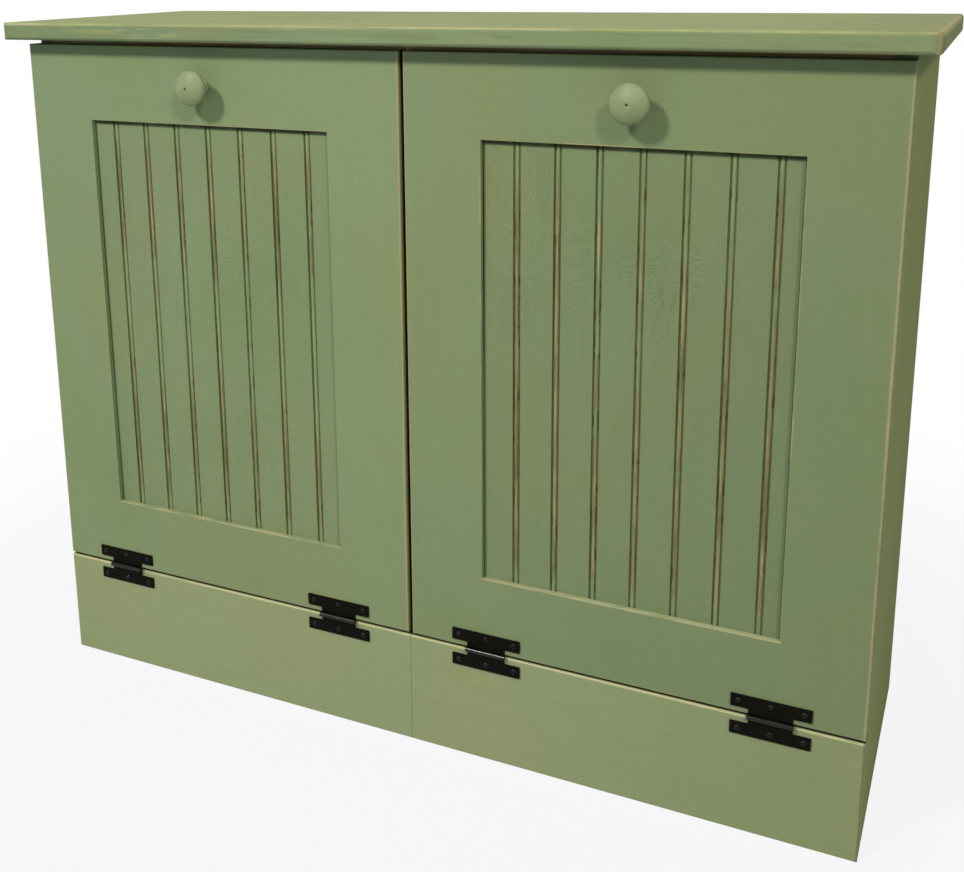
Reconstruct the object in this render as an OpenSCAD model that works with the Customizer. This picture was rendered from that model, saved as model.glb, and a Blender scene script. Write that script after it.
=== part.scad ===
// Double tilt-out trash cabinet in painted pine.
// X runs along the front, Y from the front (-) to the back (+), Z up.
// The origin is the middle of the footprint, on the floor.

/* [Cabinet] */
// Width of the body across its two side panels
body_w = 940; // [900:1:1100]
// Depth of the body from the door faces to its back
body_d = 322; // [318:1:380]
// Thickness of the solid boards
board_t = 19; // [17:0.5:21]
// Rounding of the boards' worn outer edges
edge_r = 1.5; // [0.5:0.1:2.5]
// Height of the two base boards under the doors
base_h = 127; // [110:1:150]
// Seam between the left and the right base board
base_seam = 0.6; // [0.2:0.1:2]
// Step from the base boards' top down to the floor panel
floor_drop = 8; // [2:0.5:14]
// Depth of the grooves that hold the floor panel
dado_d = 6; // [3:0.5:8]
// Depth of the two stretchers under the top
stretcher_d = 70; // [50:1:90]
// Thickness of the back panel
back_t = 6; // [4:0.5:8]
// Width of the rebates that hold the back panel
back_rebate = 9; // [6:0.5:12]
// Height of the back panel's lower edge over the floor
back_lift = 12; // [2:1:60]

/* [Top board] */
// Thickness of the top board
top_t = 19; // [16:0.5:25]
// Overhang past each side panel
top_end_lap = 20; // [5:0.5:40]
// Overhang past the door faces
top_front_lap = 21.5; // [5:0.5:40]
// Rounding of the top board's long edges and ends
top_edge_r = 4; // [1:0.5:6]
// Rounding of the top board's four corners, seen from above
top_corner_r = 10; // [2:0.5:20]

/* [Doors] */
// Height of a door
door_h = 626.5; // [620:0.5:700]
// Gap between the two doors
door_gap = 5; // [3:0.5:10]
// Gap between a door and the base board under it
base_gap = 3; // [2:0.5:6]
// Gap between a door and the top board
top_gap = 5.5; // [4:0.5:12]
// Air between a closed door and the edges it rests against
door_rest = 0.3; // [0.2:0.1:1]
// Width of a door's stiles
stile_w = 82.25; // [70:0.25:95]
// Height of a door's top and bottom rail
rail_h = 83; // [76:0.5:95]
// Depth of the bead panel behind the door's face
panel_set = 5.5; // [4:0.5:10]
// Thickness of the bead panel
panel_t = 8; // [6:0.5:9]
// How far the frame laps over the bead panel
panel_lap = 10; // [6:0.5:12]

/* [Bead panel] */
// Beads in a panel
bead_count = 7; // [3:1:9]
// Distance from the stiles to the outer beads, where the beads are centred
bead_margin = 28.2; // [20:0.1:40]
// How far the left door's beads are off centre
left_bead_shift = 0.8; // [-10:0.1:10]
// How far the right door's beads are off centre
right_bead_shift = 7.3; // [-10:0.1:10]
// Width of the round bead
bead_w = 4.4; // [3:0.1:6]
// Width of the groove on each side of a bead
groove_w = 1.5; // [0.8:0.1:2.5]
// Depth of those grooves
groove_d = 1.9; // [1:0.1:2.1]

/* [Knobs] */
// Diameter of a knob
knob_d = 38; // [30:0.5:46]
// How far a knob stands out from the door
knob_len = 29.5; // [26:0.5:36]
// Diameter of a knob's foot
knob_foot_d = 19; // [16:0.5:24]
// Diameter of a knob's neck
knob_neck_d = 14; // [11:0.5:15]
// Diameter of the small hole in a knob's front
knob_dimple_d = 2; // [1:0.1:3]
// Diameter of a knob's screw
knob_screw_d = 4; // [3:0.1:5]
// Rounding of a knob's widest edge
knob_rim_r = 3; // [2:0.1:4]
// Height of a knob's front dome
knob_crown = 6.1; // [4:0.1:8]
// Height of the cone behind a knob's widest edge
knob_back = 6.9; // [4:0.1:8]
// Depth of the screw's hole in a knob
knob_bore = 14; // [10:0.5:18]

/* [Hinges] */
// Length of a hinge leaf's bar
leaf_l = 76.5; // [60:0.5:90]
// Height of a hinge leaf's bar
leaf_h = 12.7; // [10:0.1:16]
// Thickness of a hinge leaf
leaf_t = 1.8; // [1.2:0.1:2]
// Distance from the hinge line to the bar's near edge
leaf_in = 8.4; // [6:0.1:12]
// Length of the barrel and of the web beside it
barrel_l = 42; // [30:0.5:50]
// Diameter of the barrel
barrel_d = 5.4; // [5:0.1:5.4]
// Diameter of a hinge pin
pin_d = 3; // [2.4:0.1:3.2]
// Distance from the hinge line to the boards' faces
hinge_out = 3; // [2.9:0.1:4]
// Distance from a door's edge to the middle of its hinge
hinge_inset = 86.5; // [60:0.5:120]
// Play between the hinge's knuckles
knuckle_play = 0.2; // [0.1:0.05:0.4]
// Angle to which a door tilts out
open_angle = 30; // [22:1:34]

/* [Screws] */
// Diameter of the small round-headed screws
small_d = 3.2; // [2.6:0.1:3.6]
// Length of the small screws under the head
small_l = 14; // [10:0.5:16]
// Diameter of their heads
small_head_d = 6; // [5:0.1:6.6]
// Height of their heads
small_head_h = 1.5; // [1:0.1:1.8]
// Distance between the screws in a hinge leaf
leaf_screw_pitch = 31; // [24:0.5:33]
// Diameter of the carrier's countersunk screws
long_d = 4; // [3:0.1:4.5]
// Length of the carrier's screws
long_l = 32; // [26:0.5:34]
// Diameter of their heads
long_head_d = 8; // [7:0.1:9]
// Play between a screw and its hole, on the radius
screw_play = 0.05; // [0.02:0.01:0.1]

/* [Catches] */
// Length of a catch's magnet
magnet_l = 26; // [20:0.5:30]
// Depth of the magnet
magnet_d = 11; // [8:0.5:14]
// Height of the magnet
magnet_h = 9; // [6:0.5:10]
// Wall of a catch's case
case_wall = 2.2; // [1.5:0.1:3]
// Length of each ear of the case
ear_l = 9; // [8:0.5:12]
// Thickness of the ears
ear_t = 3; // [2:0.5:4]
// How far the magnet stands out of its case
magnet_out = 0.6; // [0.2:0.1:1]
// Thickness of the strike plate on a door
strike_t = 1.2; // [0.8:0.1:2]
// Height of the strike plate
strike_h = 12; // [10:0.5:13]
// Air between the magnet and the strike plate
catch_play = 0.3; // [0.2:0.1:0.6]

/* [Bin carriers] */
// Air between a carrier and the walls of its bay
carrier_play = 8; // [6:0.5:12]
// Thickness of a carrier's arms, floor and back rail
carrier_t = 12; // [10:0.5:15]
// Air between a carrier and the back panel
carrier_back_play = 26.3; // [15:0.1:40]
// Height of a carrier's underside over its door's lower edge
carrier_lift = 4; // [2:0.5:10]
// Height of the batten on the door's back
batten_h = 66; // [50:1:69]
// Height of an arm at the door
arm_front_h = 230; // [160:1:300]
// Height of an arm at its rear end
arm_rear_h = 96; // [90:1:120]
// Length of the level stretch on top of an arm
arm_level = 40; // [20:1:80]
// Rounding of an arm's rear upper corner
arm_corner_r = 14; // [6:1:24]
// Distance from an arm's lower screws to its front and rear ends
arm_screw_in = 60; // [30:1:90]
// Distance of the screws from the edges of the batten
batten_screw_edge = 17; // [12:0.5:20]
// Distance from an arm to the outer screws of its batten
batten_screw_end = 26; // [25.5:0.5:60]
// Height of the back rail over the carrier's floor
rail_up = 72; // [50:1:76]
// Length of a stop block
stop_l = 60; // [40:1:80]
// Width and height of a stop block
stop_w = 18; // [14:0.5:18.5]
// Air left between an arm and its stop block when the door is open
stop_play = 0.3; // [0.2:0.1:1]

/* [Bins] */
// Air between a bin's rim and the arms beside it
bin_rim_play = 6.75; // [3:0.25:15]
// Air between a bin's foot and the boards in front of it and behind it
bin_foot_play = 9; // [5:0.5:20]
// Height of a bin
bin_h = 484; // [430:1:490]
// How much wider and deeper a bin is at its top
bin_flare = 28; // [16:1:30]
// Rounding of a bin's upright corners
bin_r = 28; // [16:1:40]
// Wall of a bin
bin_wall = 3; // [2:0.1:4]
// How far a bin's rim stands out
rim_out = 5; // [3:0.5:6]
// Height of a bin's rim
rim_h = 14; // [8:0.5:20]

/* [Hidden] */
$fn = 48;

// Which side of the cabinet a piece is on, and which end of a door
LEFT = -1;
RIGHT = 1;
OUTER = 1;
INNER = -1;

paint = "#87946b";
bare_wood = "#c9a873";
black_iron = "#1c1d18";
steel = "#a9abad";
bin_plastic = "#4b4f52";
case_plastic = "#6b5a45";

// Places along Y
front_y = -body_d / 2;
back_y = body_d / 2;
carcass_y = front_y + board_t;
door_t = board_t - door_rest;
door_back_y = front_y + door_t;
panel_y = back_y - back_t;

// Places along Z
door_z = base_h + base_gap;
door_top_z = door_z + door_h;
top_z = door_top_z + top_gap;
stretcher_z = top_z - board_t;
floor_top_z = base_h - floor_drop;
floor_z = floor_top_z - board_t;

// Widths
inside_x = body_w / 2 - board_t;
bay_w = inside_x - board_t / 2;
door_w = (body_w - door_gap) / 2;
window_w = door_w - 2 * stile_w;
bead_pitch = (window_w - 2 * bead_margin) / (bead_count - 1);

// The line on which both doors turn
axis_y = front_y - hinge_out;
axis_z = base_h + base_gap / 2;

// Hinges
barrel_r = barrel_d / 2;
pin_r = pin_d / 2;
pin_play = 0.05;
pin_head_r = 2.4;
pin_head_t = 1.2;
knuckle_l = barrel_l / 3;
web_in = barrel_r + 0.55;
web_root = 1;

// Bolt heads and holes
knob_screw_r = knob_screw_d / 2;
knob_screw_head_r = 4.5;
knob_screw_head_h = 2.2;
knob_z = door_top_z - rail_h / 2;
knob_foot_h = 2.5;
small_r = small_d / 2;
long_r = long_d / 2;
long_head_h = long_head_d / 2 - long_r;

// Catches
strike_y = door_back_y + strike_t;
magnet_y = strike_y + catch_play;
case_y = magnet_y + magnet_out;
case_h = magnet_h + 2 * case_wall;
case_w = magnet_l + 2 * case_wall;
case_d = magnet_d - magnet_out + case_wall;
strike_w = case_w + 2 * ear_l;
strike_z = stretcher_z - ear_t - 1.5 - strike_h;
ear_screw_x = case_w / 2 + ear_l / 2;

// Carriers and bins
carrier_z = door_z + carrier_lift;
carrier_floor_z = carrier_z + carrier_t;
carrier_back_y = panel_y - carrier_back_play;
carrier_d = carrier_back_y - door_back_y;
batten_back_y = door_back_y + board_t;
arm_x = bay_w / 2 - carrier_play - carrier_t;
bin_y = (batten_back_y + carrier_back_y - carrier_t) / 2;
bin_w = 2 * (arm_x - bin_rim_play - rim_out) - bin_flare;
bin_d = carrier_d - board_t - carrier_t - 2 * bin_foot_play;
arm_slope = atan2(arm_front_h - arm_rear_h, carrier_d - arm_level);

// Middle of a door, of the bay behind it, and of a hinge, for either side
function door_x(side) = side * (door_gap / 2 + door_w / 2);
function bay_x(side) = side * (board_t / 2 + bay_w / 2);
function hinge_x(side, end) = door_x(side) + side * end * (door_w / 2 - hinge_inset);

// Rectangle with its two corners at y = 0 rounded
module eased_profile(w, t, r) {
    translate([0, r]) square([w, t - r]);
    translate([r, 0]) square([w - 2 * r, t]);
    for (x = [r, w - r]) translate([x, r]) circle(r);
}

// Rectangle with four round corners
module rounded_profile(w, t, r) {
    translate([0, r]) square([w, t - 2 * r]);
    translate([r, 0]) square([w - 2 * r, t]);
    for (x = [r, w - r], y = [r, t - r]) translate([x, y]) circle(r);
}

// Turns a profile drawn in height and depth into a bar along X
module along_x(l) {
    translate([l, 0, 0]) rotate([0, -90, 0]) linear_extrude(l) children();
}

// Board standing on edge, its front at y = 0, with all four front edges eased
module eased_board(w, t, h, r) {
    intersection() {
        linear_extrude(h) eased_profile(w, t, r);
        along_x(w) eased_profile(h, t, r);
    }
}

module block(x, y, z, w, d, h) {
    translate([x, y, z]) cube([w, d, h]);
}

// Carcass

module top_board() {
    w = body_w + 2 * top_end_lap;
    d = body_d + top_front_lap;
    color(paint)
    translate([-w / 2, front_y - top_front_lap, top_z])
    intersection() {
        linear_extrude(top_t) rounded_profile(w, d, top_corner_r);
        along_x(w) rounded_profile(top_t, d, top_edge_r);
        translate([0, d, 0]) rotate([90, 0, 0]) linear_extrude(d) rounded_profile(w, top_t, top_edge_r);
    }
}

// The left panel, and the right one by mirroring
module side_panel() {
    color(paint)
    difference() {
        translate([-body_w / 2, carcass_y, 0])
            linear_extrude(top_z) rounded_profile(board_t, back_y - carcass_y, edge_r);
        block(-inside_x - dado_d, carcass_y - 1, floor_z, board_t, panel_y - carcass_y + 1, board_t);
        block(-inside_x - back_rebate, panel_y, back_lift, board_t, back_t + 1, top_z);
    }
}

module centre_divider() {
    color(bare_wood)
    block(-board_t / 2, carcass_y, floor_top_z, board_t, panel_y - carcass_y, stretcher_z - floor_top_z);
}

module floor_panel() {
    w = 2 * (inside_x + dado_d);
    color(bare_wood) block(-w / 2, carcass_y, floor_z, w, panel_y - carcass_y, board_t);
}

module back_panel() {
    w = 2 * (inside_x + back_rebate);
    color(bare_wood) block(-w / 2, panel_y, back_lift, w, back_t, top_z - back_lift);
}

// One of two boards that look like a single board with a seam in it
module base_board(side) {
    w = (body_w - base_seam) / 2;
    x = side == LEFT ? -body_w / 2 : base_seam / 2;
    color(paint)
    difference() {
        intersection() {
            translate([-body_w / 2, front_y, 0]) eased_board(body_w, board_t, base_h, edge_r);
            block(x, front_y, 0, w, board_t, base_h);
        }
        for (end = [OUTER, INNER]) leaf_screws(side, end, -1, screw_play);
    }
}

module centre_support() {
    color(bare_wood) block(-board_t / 2, carcass_y, 0, board_t, panel_y - carcass_y, floor_z);
}

module front_stretcher() {
    color(bare_wood)
    difference() {
        block(-inside_x, carcass_y, stretcher_z, 2 * inside_x, stretcher_d, board_t);
        for (side = [LEFT, RIGHT]) catch_screws(side, screw_play);
    }
}

module rear_stretcher() {
    color(bare_wood)
    block(-inside_x, panel_y - stretcher_d, stretcher_z, 2 * inside_x, stretcher_d, board_t);
}

// Screws. The hole for a screw is the same shape with some play

// Round-headed screw along +Z, its head's underside at the origin
module small_screw(play) {
    translate([0, 0, -small_l - play]) cylinder(h = small_l + play, r = small_r + play);
    cap_r = (pow(small_head_d / 2, 2) + pow(small_head_h, 2)) / (2 * small_head_h);
    rotate_extrude() intersection() {
        translate([0, small_head_h - cap_r]) circle(cap_r, $fn = 96);
        square([small_head_d / 2, small_head_h]);
    }
}

// Countersunk screw along +Z, its head's top at the origin
module long_screw(play) {
    translate([0, 0, -long_l - play]) cylinder(h = long_l + play, r = long_r + play);
    translate([0, 0, -long_head_h - play])
        cylinder(h = long_head_h + play, r1 = long_r + play, r2 = long_head_d / 2 + 2 * play);
}

// The three screws of one hinge leaf; up is 1 for the door's leaf and -1 for the base's
module leaf_screws(side, end, up, play) {
    z = axis_z + up * (leaf_in + leaf_h / 2);
    for (i = [-1, 0, 1])
        translate([hinge_x(side, end) + i * leaf_screw_pitch, front_y - leaf_t, z])
            rotate([90, 0, 0]) small_screw(play);
}

module catch_screws(side, play) {
    for (i = [-1, 1])
        translate([door_x(side) + i * ear_screw_x, case_y + case_d / 2, stretcher_z - ear_t])
            rotate([180, 0, 0]) small_screw(play);
}

module strike_screws(side, play) {
    for (i = [-1, 1])
        translate([door_x(side) + i * ear_screw_x, strike_y, strike_z + strike_h / 2])
            rotate([-90, 0, 0]) small_screw(play);
}

module cabinet_screws() {
    color(black_iron) for (side = [LEFT, RIGHT]) {
        for (end = [OUTER, INNER]) leaf_screws(side, end, -1, 0);
        catch_screws(side, 0);
    }
}

module door_screws(side) {
    color(black_iron) {
        for (end = [OUTER, INNER]) leaf_screws(side, end, 1, 0);
        strike_screws(side, 0);
    }
}

// Hinges. Each leaf is drawn with the hinge line as its origin

// Starts and lengths of a leaf's knuckles: the door's leaf has the middle one, the base's the outer two
function knuckles(up) = up == 1 ? [-knuckle_l / 2] : [-barrel_l / 2, knuckle_l / 2];

module hinge_leaf(side, end, up) {
    face = hinge_out - leaf_t;
    color(black_iron)
    translate([hinge_x(side, end), axis_y, axis_z])
    difference() {
        mirror([0, 0, up == 1 ? 0 : 1]) {
            block(-leaf_l / 2, face, leaf_in, leaf_l, leaf_t, leaf_h);
            block(-barrel_l / 2, face, web_in, barrel_l, leaf_t, leaf_in - web_in + 0.01);
            for (x = knuckles(up)) translate([x + knuckle_play / 2, 0, 0]) {
                rotate([0, 90, 0]) cylinder(h = knuckle_l - knuckle_play, r = barrel_r);
                block(0, face, web_root, knuckle_l - knuckle_play, leaf_t, web_in - web_root + 0.01);
            }
        }
        translate([-barrel_l, 0, 0]) rotate([0, 90, 0]) cylinder(h = 2 * barrel_l, r = pin_r + pin_play);
        for (i = [-1, 0, 1]) translate([i * leaf_screw_pitch, hinge_out + 1, up * (leaf_in + leaf_h / 2)])
            rotate([90, 0, 0]) cylinder(h = leaf_t + 2, r = small_r + screw_play);
    }
}

module hinge_pins() {
    color(black_iron) for (side = [LEFT, RIGHT], end = [OUTER, INNER])
        translate([hinge_x(side, end) - barrel_l / 2, axis_y, axis_z]) rotate([0, 90, 0]) {
            cylinder(h = barrel_l, r = pin_r);
            translate([0, 0, -pin_head_t]) cylinder(h = pin_head_t, r = pin_head_r);
            translate([0, 0, barrel_l]) cylinder(h = pin_head_t, r = pin_head_r);
        }
}

// Catches

module catch_case(side) {
    color(case_plastic)
    difference() {
        translate([door_x(side), case_y, 0]) {
            block(-case_w / 2, 0, stretcher_z - case_h, case_w, case_d, case_h);
            block(-strike_w / 2, 0, stretcher_z - ear_t, strike_w, case_d, ear_t);
        }
        magnet_block(side);
        catch_screws(side, screw_play);
    }
}

module magnet_block(side) {
    z = stretcher_z - case_wall - magnet_h;
    block(door_x(side) - magnet_l / 2, magnet_y, z, magnet_l, magnet_d, magnet_h);
}

module catch_magnet(side) {
    color(steel) magnet_block(side);
}

module strike_plate(side) {
    color(steel)
    difference() {
        translate([door_x(side) - strike_w / 2, strike_y, strike_z])
            rotate([90, 0, 0]) linear_extrude(strike_t) rounded_profile(strike_w, strike_h, 2);
        strike_screws(side, screw_play);
    }
}

// Doors

module door_blank(side) {
    translate([door_x(side) - door_w / 2, front_y, door_z]) eased_board(door_w, door_t, door_h, edge_r);
}

// Every hole that a door's frame has
module door_holes(side) {
    for (end = [OUTER, INNER]) leaf_screws(side, end, 1, screw_play);
    strike_screws(side, screw_play);
    batten_screws(side, screw_play);
    knob_hole(side);
}

// The stile to the left or to the right of a door's window, with a rebate along its back for the panel
module stile(side, hand) {
    inner_x = door_x(side) + hand * window_w / 2;
    color(paint)
    difference() {
        intersection() {
            door_blank(side);
            block(hand == LEFT ? inner_x - stile_w : inner_x, front_y, door_z, stile_w, door_t, door_h);
        }
        block(hand == LEFT ? inner_x - panel_lap : inner_x, front_y + panel_set, door_z - 1,
            panel_lap, board_t, door_h + 2);
        door_holes(side);
    }
}

// A rail fills the stiles' rebates at its ends. z is its lower edge, and lap_z that of its rebate
module rail(side, z, lap_z) {
    color(paint)
    difference() {
        intersection() {
            door_blank(side);
            union() {
                block(door_x(side) - window_w / 2, front_y, z, window_w, panel_set, rail_h);
                block(door_x(side) - window_w / 2 - panel_lap, front_y + panel_set, z,
                    window_w + 2 * panel_lap, door_t - panel_set, rail_h);
            }
        }
        block(door_x(side) - door_w / 2, front_y + panel_set, lap_z, door_w, board_t, panel_lap);
        door_holes(side);
    }
}

module top_rail(side) {
    z = door_top_z - rail_h;
    rail(side, z, z);
}

module bottom_rail(side) {
    rail(side, door_z, door_z + rail_h - panel_lap);
}

// Beaded boards in one sheet: each bead is a round between two grooves
module bead_panel(side) {
    w = window_w + 2 * panel_lap;
    z = door_z + rail_h - panel_lap;
    channel = bead_w + 2 * groove_w;
    start = panel_lap + bead_margin + (side == LEFT ? left_bead_shift : right_bead_shift);
    color(paint)
    translate([door_x(side) - w / 2, front_y + panel_set, z])
    linear_extrude(door_h - 2 * (rail_h - panel_lap)) {
        difference() {
            square([w, panel_t]);
            for (i = [0 : bead_count - 1]) translate([start + i * bead_pitch - channel / 2, -1])
                square([channel, groove_d + 1]);
        }
        for (i = [0 : bead_count - 1]) translate([start + i * bead_pitch, bead_w / 2]) circle(bead_w / 2);
    }
}

// Half outline of a knob: foot, neck and a cap with a round rim, along the knob's own axis
module knob_outline() {
    rim_x = knob_d / 2 - knob_rim_r;
    rim_y = knob_len - knob_crown - knob_rim_r;
    front_r = (pow(rim_x, 2) + pow(knob_crown, 2)) / (2 * knob_crown);
    back_r = (pow(rim_x, 2) + pow(knob_back, 2)) / (2 * knob_back);
    square([knob_foot_d / 2, knob_foot_h]);
    square([knob_neck_d / 2, rim_y]);
    intersection() {
        translate([0, knob_len - front_r]) circle(front_r, $fn = 96);
        translate([0, rim_y - knob_rim_r - knob_back + back_r]) circle(back_r, $fn = 96);
        square([rim_x, knob_len]);
    }
    translate([rim_x, rim_y]) circle(knob_rim_r);
}

module knob(side) {
    color(paint)
    translate([door_x(side), front_y, knob_z]) rotate([90, 0, 0])
    difference() {
        rotate_extrude() knob_outline();
        translate([0, 0, -1]) cylinder(h = knob_bore + 1, r = knob_screw_r + screw_play);
        translate([0, 0, knob_len - 2]) cylinder(h = 3, r = knob_dimple_d / 2);
    }
}

module knob_hole(side) {
    translate([door_x(side), front_y - 1, knob_z]) rotate([-90, 0, 0])
        cylinder(h = board_t + 2, r = knob_screw_r + screw_play);
}

module knob_screw(side) {
    color(steel)
    translate([door_x(side), door_back_y, knob_z]) rotate([90, 0, 0]) {
        cylinder(h = door_t + knob_bore - 1, r = knob_screw_r);
        translate([0, 0, -knob_screw_head_h]) cylinder(h = knob_screw_head_h, r = knob_screw_head_r);
    }
}

// Bin carriers

// Outline of an arm in depth and height, from the door's back and the carrier's underside
module arm_outline() {
    rear_run = arm_corner_r * tan((90 - arm_slope) / 2);
    difference() {
        polygon([
            [0, 0], [carrier_d, 0], [carrier_d, arm_rear_h], [arm_level, arm_front_h], [0, arm_front_h]
        ]);
        difference() {
            translate([carrier_d - rear_run, arm_rear_h - rear_run]) square([rear_run * 2, rear_run * 3]);
            translate([carrier_d - arm_corner_r, arm_rear_h - rear_run]) circle(arm_corner_r);
            translate([carrier_d - arm_corner_r, arm_rear_h - rear_run]) rotate(90 - arm_slope)
                translate([-2 * arm_corner_r, 0]) square([2 * arm_corner_r, 4 * arm_corner_r]);
        }
    }
}

// Stands an outline drawn in depth and height upright, t thick along X
module upright(t) {
    rotate([90, 0, 90]) linear_extrude(t) children();
}

module arm(side, end) {
    x = bay_x(side) + side * end * arm_x;
    color(bare_wood)
    difference() {
        translate([side * end > 0 ? x : x - carrier_t, door_back_y, carrier_z])
            upright(carrier_t) arm_outline();
        arm_screws(side, end, screw_play);
    }
}

module carrier_batten(side) {
    color(bare_wood)
    difference() {
        block(bay_x(side) - arm_x, door_back_y, carrier_z, 2 * arm_x, board_t, batten_h);
        batten_screws(side, screw_play);
        for (end = [OUTER, INNER]) arm_screws(side, end, screw_play);
    }
}

module carrier_floor(side) {
    d = carrier_back_y - batten_back_y;
    color(bare_wood)
    difference() {
        block(bay_x(side) - arm_x, batten_back_y, carrier_z, 2 * arm_x, d, carrier_t);
        for (end = [OUTER, INNER]) arm_screws(side, end, screw_play);
    }
}

module carrier_back_rail(side) {
    color(bare_wood)
    difference() {
        translate([bay_x(side) - arm_x, carrier_back_y - carrier_t, carrier_floor_z])
            cube([2 * arm_x, carrier_t, rail_up]);
        for (end = [OUTER, INNER]) arm_screws(side, end, screw_play);
    }
}

// Four screws from the batten into the door
module batten_screws(side, play) {
    spots = [[arm_x - batten_screw_end, batten_h / 2], [arm_x / 4, batten_h - batten_screw_edge]];
    for (i = [-1, 1], spot = spots)
        translate([bay_x(side) + i * spot[0], batten_back_y, carrier_z + spot[1]])
            rotate([-90, 0, 0]) long_screw(play);
}

// Five screws through an arm: two into the batten, two into the floor and one into the back rail
module arm_screws(side, end, play) {
    batten_y = door_back_y + board_t / 2;
    spots = [
        [batten_y, carrier_z + batten_screw_edge],
        [batten_y, carrier_z + batten_h - batten_screw_edge],
        [door_back_y + arm_screw_in, carrier_z + carrier_t / 2],
        [carrier_back_y - arm_screw_in, carrier_z + carrier_t / 2],
        [carrier_back_y - carrier_t / 2, carrier_floor_z + rail_up / 2]
    ];
    for (spot = spots)
        translate([bay_x(side) + side * end * (arm_x + carrier_t), spot[0], spot[1]])
            rotate([0, side * end * 90, 0]) long_screw(play);
}

module carrier_screws(side) {
    color(steel) {
        batten_screws(side, 0);
        for (end = [OUTER, INNER]) arm_screws(side, end, 0);
    }
}

// Blocks that an arm's top edge meets when its door is fully open
module stop_blocks(side) {
    color(bare_wood) for (end = [OUTER, INNER]) {
        x = bay_x(side) + side * end * bay_w / 2;
        translate([side * end > 0 ? x - stop_w : x, axis_y, axis_z])
            rotate([open_angle, 0, 0])
            translate([0, door_back_y - axis_y + carrier_d, carrier_z - axis_z + arm_rear_h])
            rotate([-arm_slope, 0, 0])
            translate([0, -stop_l - arm_corner_r, stop_play])
            cube([stop_w, stop_l, stop_w]);
    }
}

// Bins

// Block with round upright corners that grows wider upwards
module bin_solid(inset, z0, z1) {
    r = max(1, bin_r - inset);
    hull() for (z = [z0, z1], i = [-1, 1], j = [-1, 1]) {
        grow = bin_flare / 2 * z / bin_h - inset;
        translate([i * (bin_w / 2 + grow - r), j * (bin_d / 2 + grow - r), z])
            cylinder(h = 0.01, r = r, $fn = 32);
    }
}

module bin(side) {
    color(bin_plastic)
    translate([bay_x(side), bin_y, carrier_floor_z])
    difference() {
        union() {
            bin_solid(0, 0, bin_h - 1);
            bin_solid(-rim_out, bin_h - rim_h, bin_h - 0.01);
        }
        bin_solid(bin_wall, bin_wall, bin_h + 2);
    }
}

top_board();
side_panel();  // left_side_panel
mirror([1, 0, 0]) side_panel();  // right_side_panel
centre_divider();
floor_panel();
back_panel();
base_board(LEFT);  // left_base_board
base_board(RIGHT);  // right_base_board
centre_support();
front_stretcher();
rear_stretcher();
catch_case(LEFT);  // left_catch_case
catch_case(RIGHT);  // right_catch_case
catch_magnet(LEFT);  // left_catch_magnet
catch_magnet(RIGHT);  // right_catch_magnet
stop_blocks(LEFT);  // left_stop_blocks
stop_blocks(RIGHT);  // right_stop_blocks
hinge_leaf(LEFT, OUTER, -1);  // left_outer_hinge_base_leaf
hinge_leaf(LEFT, INNER, -1);  // left_inner_hinge_base_leaf
hinge_leaf(RIGHT, INNER, -1);  // right_inner_hinge_base_leaf
hinge_leaf(RIGHT, OUTER, -1);  // right_outer_hinge_base_leaf
hinge_pins();
cabinet_screws();
stile(LEFT, LEFT);  // left_door_left_stile
stile(LEFT, RIGHT);  // left_door_right_stile
top_rail(LEFT);  // left_door_top_rail
bottom_rail(LEFT);  // left_door_bottom_rail
bead_panel(LEFT);  // left_bead_panel
knob(LEFT);  // left_knob
knob_screw(LEFT);  // left_knob_screw
hinge_leaf(LEFT, OUTER, 1);  // left_outer_hinge_door_leaf
hinge_leaf(LEFT, INNER, 1);  // left_inner_hinge_door_leaf
door_screws(LEFT);  // left_door_screws
strike_plate(LEFT);  // left_strike_plate
carrier_batten(LEFT);  // left_carrier_batten
arm(LEFT, OUTER);  // left_carrier_outer_arm
arm(LEFT, INNER);  // left_carrier_inner_arm
carrier_floor(LEFT);  // left_carrier_floor
carrier_back_rail(LEFT);  // left_carrier_back_rail
carrier_screws(LEFT);  // left_carrier_screws
bin(LEFT);  // left_bin
stile(RIGHT, LEFT);  // right_door_left_stile
stile(RIGHT, RIGHT);  // right_door_right_stile
top_rail(RIGHT);  // right_door_top_rail
bottom_rail(RIGHT);  // right_door_bottom_rail
bead_panel(RIGHT);  // right_bead_panel
knob(RIGHT);  // right_knob
knob_screw(RIGHT);  // right_knob_screw
hinge_leaf(RIGHT, OUTER, 1);  // right_outer_hinge_door_leaf
hinge_leaf(RIGHT, INNER, 1);  // right_inner_hinge_door_leaf
door_screws(RIGHT);  // right_door_screws
strike_plate(RIGHT);  // right_strike_plate
carrier_batten(RIGHT);  // right_carrier_batten
arm(RIGHT, OUTER);  // right_carrier_outer_arm
arm(RIGHT, INNER);  // right_carrier_inner_arm
carrier_floor(RIGHT);  // right_carrier_floor
carrier_back_rail(RIGHT);  // right_carrier_back_rail
carrier_screws(RIGHT);  // right_carrier_screws
bin(RIGHT);  // right_bin
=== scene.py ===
import math

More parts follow.
